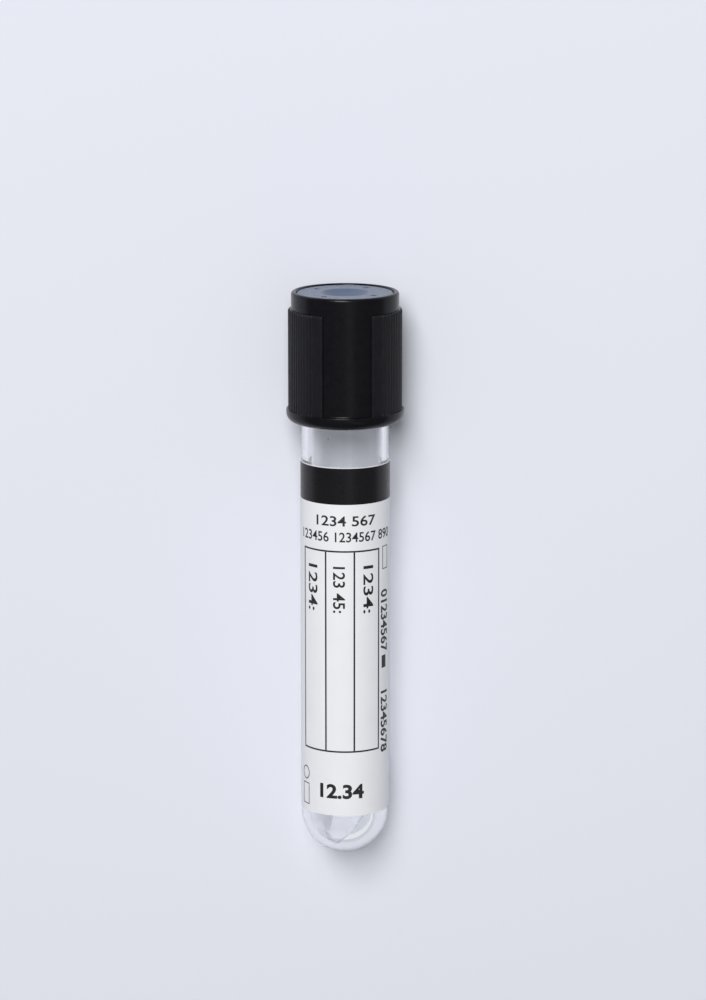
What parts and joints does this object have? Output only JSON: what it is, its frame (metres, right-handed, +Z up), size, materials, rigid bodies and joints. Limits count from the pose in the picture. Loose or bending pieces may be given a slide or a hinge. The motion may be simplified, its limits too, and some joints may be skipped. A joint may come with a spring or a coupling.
{
  "type": "blood collection tube",
  "caption": "Clear round-bottomed tube with a printed label, a little liquid additive, and a rubber stopper held in a black twist-and-pull safety cap.",
  "frame": {"origin": "centre of the foot of the bounding box: the surface that the tube lies on", "axes": "+X along the tube as it lies, towards the cap (the tube's own axis rises 2.00 degrees towards the cap, because the flange is wider than the tube); +Z up"},
  "size_m": [0.0852, 0.0172, 0.0173],
  "materials": {
    "clear_plastic": "clear, glossy",
    "label_film": "white satin film with black print",
    "clear_liquid": "clear, wet",
    "stopper_rubber": "smooth, slightly glossy grey-blue",
    "black_plastic": "satin moulded black"
  },
  "bodies": {
    "tube": {"tube": "clear_plastic", "label": "label_film", "liquid_additive": "clear_liquid"},
    "stopper": {"rubber_stopper": "stopper_rubber"},
    "cap": {"safety_cap": "black_plastic"}
  },
  "joints": [
    {"name": "closure_pull", "type": "slide", "parent": "tube", "child": "stopper", "axis": [0.9994, 0, 0.0349], "range_m": [0, 0.025]},
    {"name": "cap_twist", "type": "hinge", "parent": "stopper", "child": "cap", "pos_m": [0.03233, 0, 0.00889], "axis": [0.9994, 0, 0.0349], "continuous": true}
  ]
}
